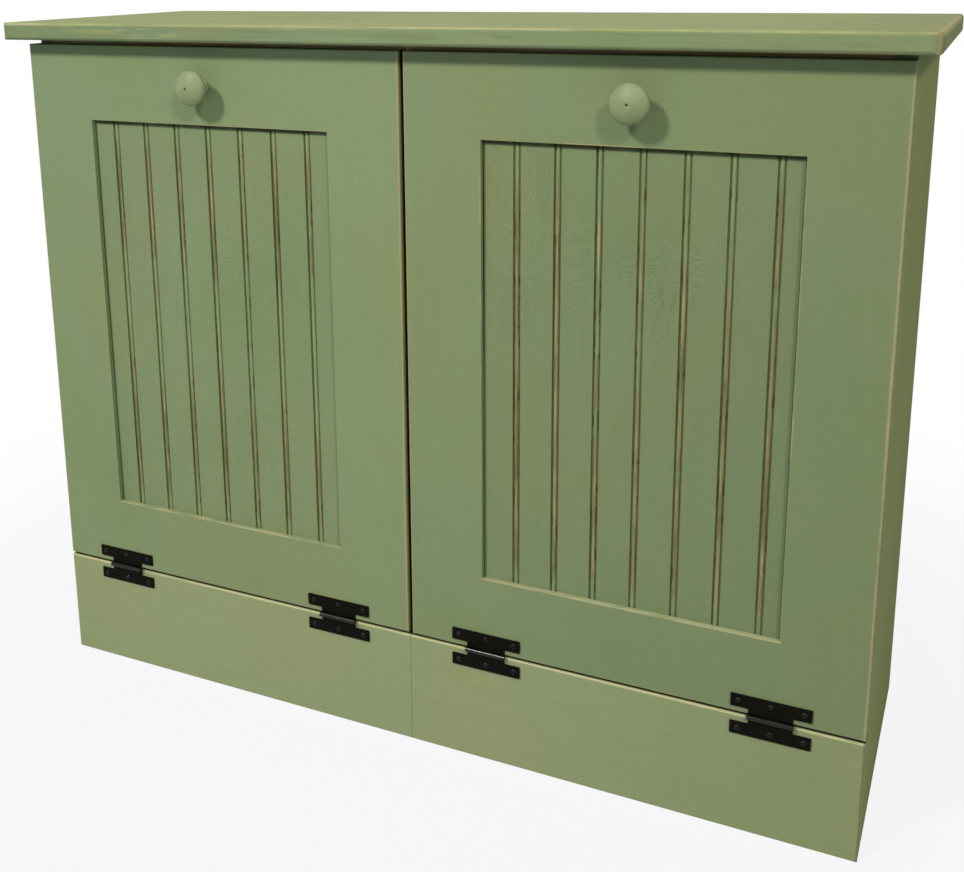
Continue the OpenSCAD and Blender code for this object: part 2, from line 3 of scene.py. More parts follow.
import bmesh
import bpy
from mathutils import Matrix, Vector


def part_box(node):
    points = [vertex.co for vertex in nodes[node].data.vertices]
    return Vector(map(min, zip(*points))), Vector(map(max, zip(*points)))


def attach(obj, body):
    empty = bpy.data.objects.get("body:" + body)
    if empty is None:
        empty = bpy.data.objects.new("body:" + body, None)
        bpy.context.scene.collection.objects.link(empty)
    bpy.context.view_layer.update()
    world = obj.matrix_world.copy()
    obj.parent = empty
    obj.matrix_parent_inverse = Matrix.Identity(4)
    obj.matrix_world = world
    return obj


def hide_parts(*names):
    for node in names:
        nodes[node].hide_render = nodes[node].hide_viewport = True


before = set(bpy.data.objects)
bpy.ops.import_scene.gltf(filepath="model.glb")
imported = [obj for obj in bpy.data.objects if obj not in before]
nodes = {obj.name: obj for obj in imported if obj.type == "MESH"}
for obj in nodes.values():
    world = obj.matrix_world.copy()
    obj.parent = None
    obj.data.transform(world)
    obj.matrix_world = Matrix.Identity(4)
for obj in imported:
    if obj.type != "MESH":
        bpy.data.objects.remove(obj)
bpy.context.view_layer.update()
print("frame loaded:", len(nodes), "nodes")

# where things are on the cabinet, in metres
layout = {
    "doorFront": -0.161,
    "baseTop": 0.127,
    "doorBottom": 0.130,
    "doorTop": 0.7565,
    "doorWidth": 0.4675,
    "doorGap": 0.005,
    "top": 0.781,
    "stile": 0.08225,
    "rail": 0.083,
    "panelFront": -0.1555,
    "beadPitch": 0.0411,
    "firstBead": {"left": 0.029, "right": 0.0355},
    "knobHeight": 0.715,
    "hingeHeight": 0.1285,
    "barrelFront": -0.1652,
}


def doorCentre(side):
    return (layout["doorGap"] + layout["doorWidth"]) / 2 * (-1 if side == "left" else 1)


def windowBox(side):
    # lower left and upper right corner of the opening that shows the beads, as (x, z)
    middle = doorCentre(side)
    half = layout["doorWidth"] / 2 - layout["stile"]
    return ((middle - half, layout["doorBottom"] + layout["rail"]),
            (middle + half, layout["doorTop"] - layout["rail"]))


def colour(code):
    # a written colour such as 87946a as linear values
    parts = [int(code[i:i + 2], 16) / 255 for i in (0, 2, 4)]
    return tuple(c / 12.92 if c <= 0.04045 else ((c + 0.055) / 1.055) ** 2.4 for c in parts) + (1.0,)


# a Wire is one output of a shader node, and python's operators work on it
class Wire:
    def __init__(self, tree, socket):
        self.tree = tree
        self.socket = socket

    def node(self, kind, settings=None, sockets=None, out=0):
        made = self.tree.nodes.new("ShaderNode" + kind)
        for key, value in (settings or {}).items():
            setattr(made, key, value)
        for key, value in (sockets or {}).items():
            if isinstance(value, Wire):
                self.tree.links.new(value.socket, made.inputs[key])
            else:
                made.inputs[key].default_value = value
        return Wire(self.tree, made.outputs[out]) if len(made.outputs) else None

    def maths(self, operation, *values):
        return self.node("Math", {"operation": operation}, dict(enumerate(values)))

    def __add__(self, other):
        return self.maths("ADD", self, other)

    def __sub__(self, other):
        return self.maths("SUBTRACT", self, other)

    def __rsub__(self, other):
        return self.maths("SUBTRACT", other, self)

    def __mul__(self, other):
        return self.maths("MULTIPLY", self, other)

    def __truediv__(self, other):
        return self.maths("DIVIDE", self, other)

    def __rtruediv__(self, other):
        return self.maths("DIVIDE", other, self)

    def __abs__(self):
        return self.maths("ABSOLUTE", self)

    __radd__ = __add__
    __rmul__ = __mul__

    def most(self, other):
        return self.maths("MAXIMUM", self, other)

    def least(self, other):
        return self.maths("MINIMUM", self, other)

    def whole(self):
        return self.maths("ROUND", self)

    def sine(self):
        return self.maths("SINE", self)

    def root(self):
        return self.maths("SQRT", self)

    def rise(self, low, high, toLow=0.0, toHigh=1.0):
        # smooth step from low to high
        ends = {"From Min": low, "From Max": high, "To Min": toLow, "To Max": toHigh}
        return self.node("MapRange", {"interpolation_type": "SMOOTHSTEP"}, {"Value": self, **ends})

    def fall(self, low, high):
        # 1 below low, 0 above high
        return self.rise(low, high, 1.0, 0.0)

    def band(self, low, high, soft):
        return self.rise(low - soft, low + soft) * self.fall(high - soft, high + soft)

    def stretched(self, scale, turn=(0, 0, 0), shift=(0, 0, 0)):
        return self.node("Mapping", None, {"Vector": self, "Scale": scale, "Rotation": turn,
                                           "Location": shift})

    def noise(self, scale, detail=3.0, roughness=0.5, distortion=0.0):
        return self.node("TexNoise", None, {"Vector": self, "Scale": scale, "Detail": detail,
                                            "Roughness": roughness, "Distortion": distortion})

    def blend(self, first, second):
        # self is the factor between two colours
        return self.node("Mix", {"data_type": "RGBA"}, {0: self, 6: first, 7: second}, out=2)

    def towards(self, second, amount):
        # self is a colour, and a plain amount of the second one is mixed in
        return self.node("Mix", {"data_type": "RGBA"}, {0: amount, 6: self, 7: second}, out=2)

    def shaded(self, amount):
        # self is a colour, made lighter or darker
        return self.node("VectorMath", {"operation": "SCALE"}, {0: self, "Scale": amount})

    def axes(self):
        parts = self.node("SeparateXYZ", None, {0: self})
        return [Wire(self.tree, s) for s in parts.socket.node.outputs]


def newMaterial(name):
    material = bpy.data.materials.new(name)
    material.use_nodes = True
    tree = material.node_tree
    tree.nodes.clear()
    coordinates = tree.nodes.new("ShaderNodeTexCoord")
    return material, Wire(tree, coordinates.outputs["Object"])


def finishMaterial(place, tint, rough, height, bumpSize, **fixed):
    bump = place.node("Bump", None, {"Strength": 1.0, "Distance": bumpSize, "Height": height})
    sockets = {"Base Color": tint, "Roughness": rough, "Normal": bump}
    sockets.update({key.replace("_", " "): value for key, value in fixed.items()})
    shader = place.node("BsdfPrincipled", None, sockets)
    place.node("OutputMaterial", None, {"Surface": shader})


def dress(node, material):
    mesh = nodes[node].data
    mesh.materials.clear()
    mesh.materials.append(material)


# milk paint on pine, rubbed through along the edges, with colours for painted light and shade
paint = {
    "green": "87946a",
    "deep": "819064",
    "olive": "8a9064",
    "grey": "839270",
    "litTop": "a2a470",
    "warmSideLight": "9a9a5e",
    "dusty": "91916c",
    "cream": "cfc79a",
    "tan": "a69c70",
    "brown": "837c54",
    "grime": "56653a",
    "paintedFalloff": "747d51",
    "specks": "6f7d52",
    "gapShade": "25210f",
    "roughness": 0.6,
    "gloss": 0.05,
    "relief": 0.0002,
    "edgeWidth": 0.0022,
}

along = {"x": (1, 14, 14), "y": (14, 1, 14), "z": (14, 14, 1)}
farAlong = {"x": (0.1, 1, 1), "y": (1, 0.1, 1), "z": (1, 1, 0.1)}

# how a board's paint differs: tone makes it lighter or darker, and on the right door and its panel it is partly
# painted shade where less light falls; lean mixes in another green; one amount paints shade over its right;
# streak is the strength of the brush marks, edges the strength of the rubbed lines
looks = {
    "left door": {"streak": 0.015, "tone": 0.99, "falloffShade": 0.4},
    "right door": {"streak": 0.015, "tone": 0.94, "falloffShade": 0.4},
    "left panel": {"tone": 0.9306, "falloffShade": 0.4},
    "right panel": {"tone": 0.8836, "falloffShade": 0.4},
    "base": {"tone": 1.17, "lean": (0.35, "dusty"), "edges": 0.8, "falloffShade": 0.4},
    # painted light: the side panels are painted yellower and lighter, standing in for warm light falling on them
    "side": {"streak": 0.04, "gloss": 0.0, "lean": (0.5, "warmSideLight"), "tone": 1.16},
    "top": {"streak": 0.03, "gloss": 0.03, "tone": 0.96, "falloffShade": 0.15},
    "seam": {"falloffShade": 0.4},
}

# a board's rubbed front edges: how much is rubbed away, colour from 0 cream over 1 tan to 2 brown, width
rubbed = {
    "left door": {"left": (0.6, 0.6, 0.95), "right": (0.72, 0.7, 1.5),
                  "top": (0.3, 0.5, 0.8), "bottom": (0.5, 0.35, 0.8)},
    "right door": {"left": (0.6, 0.6, 0.95), "right": (0.72, 1.3, 1.9),
                   "top": (0.3, 0.5, 0.8), "bottom": (0.5, 0.35, 0.8)},
    "left base": {"top": (0.62, 0.35, 1.1), "left": (0.75, 0.95, 1.5)},
    "right base": {"top": (0.62, 0.35, 1.1), "right": (0.75, 1.8, 1.5)},
    "side": {"left": (0.55, 0.7, 1.5), "right": (0.55, 0.7, 1.5)},
    "top": {"top": (0.5, 0.15, 1.5), "bottom": (0.6, 0.6, 1.1)},
}


def paintBase(place, grain, look):
    # close greens in soft blotches, with faint brush marks along the board
    brush = place.stretched(along[grain]).noise(13.0, 4, 0.6)
    fine = place.noise(260.0, 3, 0.6)
    tint = place.noise(4.0, 3, 0.5).rise(0.38, 0.66).blend(colour(paint["green"]), colour(paint["deep"]))
    tint = (place.noise(2.3, 3, 0.55, 0.4).rise(0.42, 0.68) * 0.7).blend(tint, colour(paint["grey"]))
    patches = place.stretched((1, 1, 0.8), shift=(3.1, 1.7, 0.4)).noise(5.2, 3, 0.5, 0.5)
    tint = (patches.rise(0.48, 0.68) * 0.6).blend(tint, colour(paint["olive"]))
    if "lean" in look:
        amount, other = look["lean"]
        tint = tint.towards(colour(paint[other]), amount)
    if "falloffShade" in look:
        # painted shade: the paint darkens towards the cabinet's right end, where less light falls
        tint = (place.axes()[0].rise(0.05, 0.5) * look["falloffShade"]).blend(tint, colour(paint["paintedFalloff"]))
    streak = look.get("streak", 0.02)
    marks = brush.rise(0.3, 0.72, 1 - streak, 1 + streak) * fine.rise(0.3, 0.7, 0.985, 1.015)
    tint = tint.shaded(marks * look.get("tone", 1.0))
    specks = place.noise(75.0, 2, 0.5).rise(0.73, 0.79) * 0.35
    tint = specks.blend(tint, colour(paint["specks"]))
    height = brush * 0.55 + fine * 0.2 + place.noise(55.0, 3, 0.6) * 0.3
    return tint, height, brush


def edgeLine(distances, width):
    # 1 where every distance is small, falling to 0 at the given width
    worst = distances[0]
    for distance in distances[1:]:
        worst = worst.most(distance)
    return worst.fall(width * 0.3, width)


def wornPaint(name, grain, lines, look, detail=None):
    # lines: function giving the distances from an edge, width, how much is rubbed away, colour
    material, place = newMaterial(name)
    tint, height, brush = paintBase(place, grain, look)
    spots = place.noise(30.0, 5, 0.66)
    runs = place.stretched(farAlong[grain]).noise(30.0, 4, 0.6)
    breaks = place.noise(9.0, 4, 0.66)
    wide = runs.rise(0.3, 0.7, 0.5, 1.15)
    x, y, z = place.axes()
    for distances, width, amount, shade in lines:
        line = edgeLine([distance / wide for distance in distances(x, y, z)], width)
        broken = (spots * 0.3 + breaks * 0.7 + (amount - 0.5) * 0.5).rise(0.42, 0.56)
        part = line * broken * (min(1.0, 0.45 + amount) * look.get("edges", 1.0))
        paler, darker = ("cream", "tan") if shade <= 1 else ("tan", "brown")
        tone = (spots * 0.5 + runs * 0.5 + (shade if shade <= 1 else shade - 1) - 0.5).rise(0.3, 0.7)
        tint = part.blend(tint, tone.blend(colour(paint[paler]), colour(paint[darker])))
        height = height - part * 0.5
    if detail:
        tint, height = detail(place, tint, height, spots, runs)
    rough = brush.rise(0.3, 0.7, paint["roughness"], paint["roughness"] + 0.1)
    finishMaterial(place, tint, rough, height, paint["relief"],
                   Specular_IOR_Level=look.get("gloss", paint["gloss"]))
    return material


def frontEdges(low, high, amounts):
    # the front edges of a board between two corners
    ways = {
        "left": lambda x, y, z: [abs(x - low[0]), y - low[1]],
        "right": lambda x, y, z: [abs(x - high[0]), y - low[1]],
        "top": lambda x, y, z: [abs(z - high[2]), y - low[1]],
        "bottom": lambda x, y, z: [abs(z - low[2]), y - low[1]],
    }
    width = paint["edgeWidth"]
    return [(ways[edge], width * size, amount, shade) for edge, (amount, shade, size) in amounts.items()]


def windowEdges(side):
    # the frame's edges round the panel: width, how much is rubbed away, colour
    (x0, z0), (x1, z1) = windowBox(side)
    cx, cz, hx, hz = (x0 + x1) / 2, (z0 + z1) / 2, (x1 - x0) / 2, (z1 - z0) / 2
    front = layout["doorFront"]
    return [
        (lambda x, y, z: [abs(x - x0), y - front, abs(z - cz) - hz], 0.0025, 0.38, 0.75),
        (lambda x, y, z: [abs(x - x1), y - front, abs(z - cz) - hz], 0.0018, 0.37, 0.7),
        (lambda x, y, z: [abs(z - z1), y - front, abs(x - cx) - hx], 0.0020, 0.43, 0.8),
        (lambda x, y, z: [abs(z - z0), y - front, abs(x - cx) - hx], 0.0021, 0.54, 0.45),
    ]


def outerEnd(x):
    # 1 on the end faces at the cabinet's two sides
    end = layout["doorGap"] / 2 + layout["doorWidth"]
    return abs(x).rise(end - 0.0006, end - 0.0002)


# colours of the edge under the panel, and painted shade on the outer end faces
boardWear = {
    "rubbed": "b3a67a",
    "rubbedGreen": "aab285",
    "streaks": "a2ad80",
    "doorEnd": "7b8054",
    "baseEndShade": "838858",
}


def doorWear(side):
    (x0, z0), (x1, z1) = windowBox(side)
    middle, half = (x0 + x1) / 2, (x1 - x0) / 2

    def detail(place, tint, height, spots, runs):
        x, y, z = place.axes()
        depth = y - layout["doorFront"]
        # the edge under the panel is rubbed bare in front, with light green streaks over the rest
        ledge = abs(z - z0).fall(0.0004, 0.0009) * abs(x - middle).fall(half - 0.001, half)
        worn = (spots * 0.4 + runs * 0.6).rise(0.42, 0.56) * depth.fall(0.0042, 0.0062) * 0.85
        bare = runs.rise(0.42, 0.6).blend(colour(boardWear["rubbed"]), colour(boardWear["rubbedGreen"]))
        tint = (ledge * worn).blend(tint, bare)
        tint = (ledge * runs.rise(0.36, 0.52, 0.6, 0.0)).blend(tint, colour(boardWear["streaks"]))
        # painted shade on the doors' outer end faces
        tint = (outerEnd(x) * depth.rise(0.0015, 0.003) * 0.8).blend(tint, colour(boardWear["doorEnd"]))
        # painted shade in the gap between the doors
        shadedGap = abs(x).fall(0.0030, 0.0036) * depth.rise(0.004, 0.0065)
        tint = (shadedGap * 0.85).blend(tint, colour(paint["gapShade"]))
        return tint, height
    return detail


def baseWear(place, tint, height, spots, runs):
    # painted shade: darker end faces, and a dark gap under the doors
    x, y, z = place.axes()
    tint = (outerEnd(x) * 0.8).blend(tint, colour(boardWear["baseEndShade"]))
    top = z.rise(layout["baseTop"] - 0.0012, layout["baseTop"] - 0.0004)
    shadedGap = top * (y - layout["doorFront"]).rise(0.0021, 0.0033)
    tint = (shadedGap * 0.92).blend(tint, colour(paint["gapShade"]))
    return tint, height


# beaded panels: heights are parts of the panel's height, the rest is in metres
beads = {
    "crest": (0.0016, 0.0023),
    "groove": (0.0021, 0.0041),
    "brightFrom": {"left": 0.77, "right": 0.7},
    "brightTo": {"left": 0.9, "right": 0.84},
    "light": {"left": 0.55, "right": 0.4},
    "figure": {"left": 0.08, "right": 0.15},
    "whorls": {"left": 0.3, "right": 0.7},
    "wood": "928c60",
    "woodDark": "6b6742",
    "woodPale": "bcae80",
    "crestPaleAndLit": "a3ac80",
    "grooveBrown": "655f3a",
    "stains": "453f24",
    "jointAndShade": "262b14",
    "jointAndShadeGreen": "3c4526",
    "railShadow": "3f3c22",
}


def beadWear(side):
    (x0, z0), (x1, z1) = windowBox(side)
    first = x0 + layout["firstBead"][side]
    pitch = layout["beadPitch"]

    def detail(place, tint, height, spots, runs):
        x, y, z = place.axes()
        front = y.fall(layout["panelFront"] + 0.0024, layout["panelFront"] + 0.0028)
        steps = (x - first) / pitch
        away = abs((steps - steps.whole()) * pitch)
        crest = away.fall(*beads["crest"])
        groove = away.band(*beads["groove"], 0.0005)
        up = (z - z0) / (z1 - z0)
        ends = up.rise(0.015, 0.06) * up.fall(0.9, 0.985)
        # long worn stretches, shorter ones in them, and hair-fine streaks of the grain
        longRuns = place.stretched((24.3, 0, 4.6), shift=(0.37, 0, 0)).noise(1.0, 2, 0.5)
        shortRuns = place.stretched((60, 20, 16)).noise(1.0, 4, 0.65)
        hairs = place.stretched((1500, 300, 22)).noise(1.0, 3, 0.6)
        if side == "right":
            lower = up.rise(0.2, 0.95, 0.06, -0.02)
        else:
            lower = 0.05 - up.band(0.34, 0.68, 0.11) * 0.17
        brightest = up.band(beads["brightFrom"][side], beads["brightTo"][side], 0.05)
        worn = (longRuns * 0.55 + shortRuns * 0.45 + lower).rise(0.42, 0.52) * ends
        # bare wood on the crests: tan, with pale and brown streaks
        grain = (hairs * 0.5 + shortRuns * 0.5).rise(0.4, 0.6)
        wood = grain.blend(colour(beads["woodDark"]), colour(beads["wood"]))
        pale = hairs.rise(0.5, 0.64) * shortRuns.rise(0.42, 0.58) * away.fall(0.0006, 0.0016)
        wood = (pale * (brightest * 0.6 + 0.35)).blend(wood, colour(beads["woodPale"]))
        # paler streaks on the crests: paint rubbed thin, and partly a painted highlight on the raised beads
        light = crest * hairs.rise(0.44, 0.6) * beads["light"][side]
        tint = light.blend(tint, colour(beads["crestPaleAndLit"]))
        tint = (crest * worn * hairs.rise(0.3, 0.42, 0.72, 0.97) * front).blend(tint, wood)
        # the grooves keep dark glaze, brown beside bare wood
        tint = (groove * front * runs.rise(0.3, 0.62, 0.1, 0.5)).blend(tint, colour(paint["grime"]))
        tint = (groove * front * worn * 0.5).blend(tint, colour(beads["grooveBrown"]))
        stains = place.stretched((90, 30, 40), shift=(0.4, 0, 0)).noise(1.0, 3, 0.6).rise(0.56, 0.64)
        stained = stains * away.band(0.0014, 0.0034, 0.0005) * front * 0.65
        tint = stained.blend(tint, colour(beads["stains"]))
        # a dark joint line down both sides of the panel, partly painted shade in the corners, and a painted
        # shadow under the top rail
        jointAndShade = (x - x0).least(x1 - x).fall(0.0006, 0.0022) * front * runs.rise(0.3, 0.6, 0.5, 0.95)
        jointAndShadeTint = longRuns.rise(0.42, 0.58).blend(colour(beads["jointAndShadeGreen"]), colour(beads["jointAndShade"]))
        tint = jointAndShade.blend(tint, jointAndShadeTint)
        railShadowMask = (z1 - z).fall(0.0028, 0.005) * front * runs.rise(0.3, 0.6, 0.5, 0.9)
        tint = railShadowMask.blend(tint, colour(beads["railShadow"]))
        # raised knots and whorls under the paint, most of them in the middle
        knots = place.stretched((1, 1, 0.6)).noise(17.0, 2, 0.5, 1.6)
        middle = abs(x - (x0 + x1) / 2).fall(0.045, 0.085) * up.band(0.5, 0.85, 0.12)
        figured = place.stretched((1, 1, 0.7), shift=(0.9, 0.2, 0.1)).noise(6.5, 2, 0.4)
        ring = (figured + middle * beads["figure"][side]).rise(0.6, 0.7)
        whorl = (knots * 100.0).sine()
        height = height + whorl * ring * away.rise(0.005, 0.008) * beads["whorls"][side]
        tint = tint.shaded(whorl.rise(-1, 1, 0.985, 1.015) * ring + (1 - ring))
        return tint, height
    return detail


# the top board: its colours, and the rubbed lines round its ends
lid = {
    "growthLines": "76815a",
    "streaks": "b1ad78",
    "nicks": "6a6a42",
    "scratches": "c6c598",
    "endShade": "7d824c",
    "endAbove": "b9a67c",
    "endCorner": "a5966c",
    "endBelow": "8c7752",
}


def lidEnds(low, high):
    # faint rubbed lines round the end faces: width, how much is rubbed away, colour
    return [
        (lambda x, y, z: [abs(z - high[2]), high[0] - abs(x)], 0.0052, 0.8, 0.5),
        (lambda x, y, z: [abs(z - low[2]), high[0] - abs(x)], 0.0035, 0.7, 0.9),
        (lambda x, y, z: [y - low[1], high[0] - abs(x)], 0.005, 0.45, 0.4),
    ]


def lidWear(place, tint, height, spots, runs):
    # darker growth lines along the board, pale rubbed streaks and short scratches
    x, y, z = place.axes()
    low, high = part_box("top_board")
    face = z.rise(layout["top"] - 0.0035, layout["top"] - 0.001)
    # painted light: the top face is painted lighter and warmer than the front, in long bands
    bands = place.stretched(farAlong["x"]).noise(38.0, 4, 0.6, 0.2).rise(0.32, 0.62)
    tint = (face * (bands * 0.3 + 0.5)).blend(tint, colour(paint["litTop"]))
    lines = place.stretched((0.14, 1.6, 1.6)).noise(62.0, 4, 0.62, 0.3)
    tint = (lines.rise(0.54, 0.7) * (0.65 - face * 0.25)).blend(tint, colour(lid["growthLines"]))
    tint = (lines.fall(0.3, 0.44) * 0.35).blend(tint, colour(lid["streaks"]))
    nicks = place.stretched((0.5, 5, 5), (0, 0, 0.05)).noise(38.0, 3, 0.6).rise(0.69, 0.73)
    tint = (nicks * 0.5).blend(tint, colour(lid["nicks"]))
    # short pale scratches along the front edge
    scratches = place.stretched((0.16, 4, 7), (0, 0.1, 0), (0.2, 0, 0.1)).noise(60.0, 3, 0.6).rise(0.6, 0.66)
    patch = place.noise(5.0, 2, 0.5).rise(0.45, 0.6) * z.rise(layout["top"] - 0.02, layout["top"] - 0.006)
    tint = (scratches * patch * (1 - face) * 0.6).blend(tint, colour(lid["scratches"]))
    # painted shade: the end faces are darker, the top darkens towards the right end and the front towards the
    # left end
    inward = high[0] - abs(x)
    tint = (inward.fall(0.0004, 0.0016) * 0.8).blend(tint, colour(lid["endShade"]))
    paintedShadeTop = 1 - face * x.rise(0.3, 0.48) * 0.15
    paintedShadeFront = 1 - (1 - face) * x.rise(-0.45, 0.05, 0.08, 0.0)
    tint = tint.shaded(paintedShadeTop * paintedShadeFront)
    # rubbed lines round the ends: tan above, brown below and down the corner
    patchy = (spots * 0.5 + runs * 0.5).rise(0.34, 0.52)
    tint = (edgeLine([abs(z - high[2]), inward], 0.006) * patchy * 0.8).blend(tint, colour(lid["endAbove"]))
    tint = (edgeLine([y - low[1], inward], 0.0065) * patchy * 0.7).blend(tint, colour(lid["endCorner"]))
    tint = (edgeLine([abs(z - low[2]), inward], 0.005) * patchy * 0.8).blend(tint, colour(lid["endBelow"]))
    height = height + lines * 0.8 - nicks * 0.6
    return tint, height


def paintDoor(side):
    half = layout["doorWidth"] / 2
    low = (doorCentre(side) - half, layout["doorFront"], layout["doorBottom"])
    high = (doorCentre(side) + half, 0, layout["doorTop"])
    lines = frontEdges(low, high, rubbed[f"{side} door"]) + windowEdges(side)
    for part, grain in (("left_stile", "z"), ("right_stile", "z"), ("top_rail", "x"), ("bottom_rail", "x")):
        name = f"{side} door {part} paint".replace("_", " ")
        dress(f"{side}_door_{part}", wornPaint(name, grain, lines, looks[f"{side} door"], doorWear(side)))
    panelPaint = wornPaint(f"{side} beaded panel paint", "z", [], looks[f"{side} panel"], beadWear(side))
    dress(f"{side}_bead_panel", panelPaint)


def makePaint():
    for side in ("left", "right"):
        paintDoor(side)
        lines = frontEdges(*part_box(f"{side}_base_board"), rubbed[f"{side} base"])
        finish = wornPaint(f"{side} base board paint", "x", lines, looks["base"], baseWear)
        dress(f"{side}_base_board", finish)
        lines = frontEdges(*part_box(f"{side}_side_panel"), rubbed["side"])
        dress(f"{side}_side_panel", wornPaint(f"{side} side panel paint", "z", lines, looks["side"]))
    lines = frontEdges(*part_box("top_board"), rubbed["top"]) + lidEnds(*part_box("top_board"))
    dress("top_board", wornPaint("top board paint", "x", lines, looks["top"], lidWear))


makePaint()
print("paint done")


# planed pine inside, black iron, steel, plastic
inside = {
    "pine": "c7a771",
    "pineDark": "a9824e",
    "pineLight": "dcc294",
    "pineWarm": "b98d58",
    "iron": "0c0b06",
    "ironDust": "13110a",
    "barrel": "302e2c",
    "zinc": "a4a6a8",
    "magnet": "5b5b5d",
    "case": "5e4833",
    "caseDeep": "4d3a29",
    "tub": "464a4d",
    "tubDeep": "3c4043",
}
grown = {"x": (0.35, 9, 9), "y": (9, 0.35, 9), "z": (9, 9, 0.35)}


def pine(name, grain):
    material, place = newMaterial(name)
    figure = place.stretched(grown[grain]).noise(3.2, 5, 0.6, 0.6)
    rings = (figure * 60.0).sine().rise(-1, 1)
    pores = place.stretched(along[grain]).noise(60.0, 3, 0.6)
    tint = rings.blend(colour(inside["pine"]), colour(inside["pineLight"]))
    tint = (figure.rise(0.55, 0.75) * 0.6).blend(tint, colour(inside["pineDark"]))
    tint = (place.noise(3.0, 2, 0.5).rise(0.4, 0.7) * 0.25).blend(tint, colour(inside["pineWarm"]))
    tint = tint.shaded(pores.rise(0.3, 0.7, 0.93, 1.04))
    rough = pores.rise(0.3, 0.7, 0.55, 0.7)
    finishMaterial(place, tint, rough, rings * 0.4 + pores * 0.6, 0.0002, Specular_IOR_Level=0.35)
    return material


def blackIron(name, rough, gloss):
    # black lacquer, rubbed to dark metal along the barrels
    material, place = newMaterial(name)
    hammered = place.noise(240.0, 3, 0.55)
    dust = place.noise(60.0, 4, 0.6)
    x, y, z = place.axes()
    outside = (y - layout["barrelFront"]).fall(-0.0002, 0.0006)
    barrel = outside * abs(z - layout["hingeHeight"]).fall(0.0028, 0.0034)
    tint = dust.rise(0.35, 0.75).blend(colour(inside["iron"]), colour(inside["ironDust"]))
    tint = barrel.blend(tint, colour(inside["barrel"]))
    roughness = dust.rise(0.3, 0.7, rough, rough + 0.12) * (1 - barrel * 0.6)
    finishMaterial(place, tint, roughness, hammered, 0.00008, Metallic=barrel, Specular_IOR_Level=gloss)
    return material


def steelSurface(name, code, rough):
    material, place = newMaterial(name)
    brushed = place.stretched((1, 20, 20)).noise(90.0, 3, 0.6)
    bright = colour(code)
    dull = tuple(c * 0.8 for c in bright[:3]) + (1,)
    tint = place.noise(40.0, 3, 0.6).rise(0.3, 0.7).blend(bright, dull)
    finishMaterial(place, tint, brushed.rise(0.3, 0.7, rough, rough + 0.15), brushed, 0.00004, Metallic=1.0)
    return material


def plastic(name, code, deepCode, rough):
    material, place = newMaterial(name)
    skin = place.noise(900.0, 2, 0.5)
    marks = place.stretched((1, 1, 0.2)).noise(18.0, 4, 0.6)
    tint = marks.rise(0.35, 0.7).blend(colour(code), colour(deepCode))
    finishMaterial(place, tint, marks.rise(0.3, 0.7, rough, rough + 0.12), skin + marks * 0.3, 0.00006)
    return material


def makeInside():
    grains = {
        "x": ["floor_panel", "front_stretcher", "rear_stretcher"],
        "y": ["centre_support"],
        "z": ["centre_divider", "back_panel"],
    }
    for side in ("left", "right"):
        grains["x"] += [f"{side}_carrier_batten", f"{side}_carrier_floor", f"{side}_carrier_back_rail"]
        grains["y"] += [f"{side}_carrier_outer_arm", f"{side}_carrier_inner_arm", f"{side}_stop_blocks"]
    for grain, names in grains.items():
        wood = pine(f"planed pine along {grain}", grain)
        for name in names:
            dress(name, wood)
    iron = blackIron("black iron", 0.5, 0.04)
    screwHeads = blackIron("black screws", 0.18, 0.12)
    zinc = steelSurface("zinc plated steel", inside["zinc"], 0.3)
    magnet = steelSurface("magnet", inside["magnet"], 0.4)
    case = plastic("catch plastic", inside["case"], inside["caseDeep"], 0.45)
    tubSkin = plastic("bin plastic", inside["tub"], inside["tubDeep"], 0.42)
    for name in nodes:
        if "cabinet_screws" in name or "door_screws" in name:
            dress(name, screwHeads)
        elif "hinge" in name:
            dress(name, iron)
        elif "strike" in name or "knob_screw" in name or "carrier_screws" in name:
            dress(name, zinc)
        elif "magnet" in name:
            dress(name, magnet)
        elif "catch_case" in name:
            dress(name, case)
        elif name.endswith("_bin"):
            dress(name, tubSkin)
    return tubSkin


tubFinish = makeInside()
print("inside and metal done")


def addPiece(name, shape, material, body, stands=(), smooth=True):
    mesh = bpy.data.meshes.new(name)
    shape.to_mesh(mesh)
    shape.free()
    mesh.materials.append(material)
    if smooth:
        mesh.shade_smooth()
    piece = bpy.data.objects.new(name, mesh)
    bpy.context.scene.collection.objects.link(piece)
    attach(piece, body)
    for node in stands:
        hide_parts(node)
    return piece


# turned knobs: half outline as radius and distance from the door, in millimetres
knob = {
    "outline": [(9.5, 0), (9.5, 1.9), (8.9, 2.6), (7.4, 3.2), (6.9, 4.6), (6.9, 7.2), (7.6, 9.6), (10.2, 12.2),
                (13.9, 15.0), (17.0, 17.3), (18.6, 18.9), (19.0, 20.4), (18.5, 22.0), (16.9, 23.7), (14.0, 25.6),
                (10.4, 27.4), (6.3, 28.8), (2.6, 29.4), (1.1, 29.4), (0.9, 28.6), (0.0, 27.4)],
    "steps": 64,
    "tint": "828e63",
    "light": "8e996f",
    "hole": "59603c",
    "holeSize": (0.0010, 0.0016),
}


def knobPaint():
    material, place = newMaterial("knob paint")
    cloud = place.noise(45.0, 3, 0.5).rise(0.35, 0.65)
    turning = place.stretched((0.4, 14, 0.4)).noise(60.0, 3, 0.6)
    tint = cloud.blend(colour(knob["tint"]), colour(knob["light"]))
    x, y, z = place.axes()
    sideways = abs(x) - doorCentre("right")
    upwards = z - layout["knobHeight"]
    # painted shade in the small hole at the knob's centre
    hole = (sideways * sideways + upwards * upwards).root().fall(*knob["holeSize"])
    tint = hole.blend(tint, colour(knob["hole"]))
    height = turning * 0.5 + place.noise(300.0, 2, 0.5) * 0.4
    finishMaterial(place, tint, cloud.rise(0, 1, 0.42, 0.5), height, 0.00012, Specular_IOR_Level=0.2)
    return material


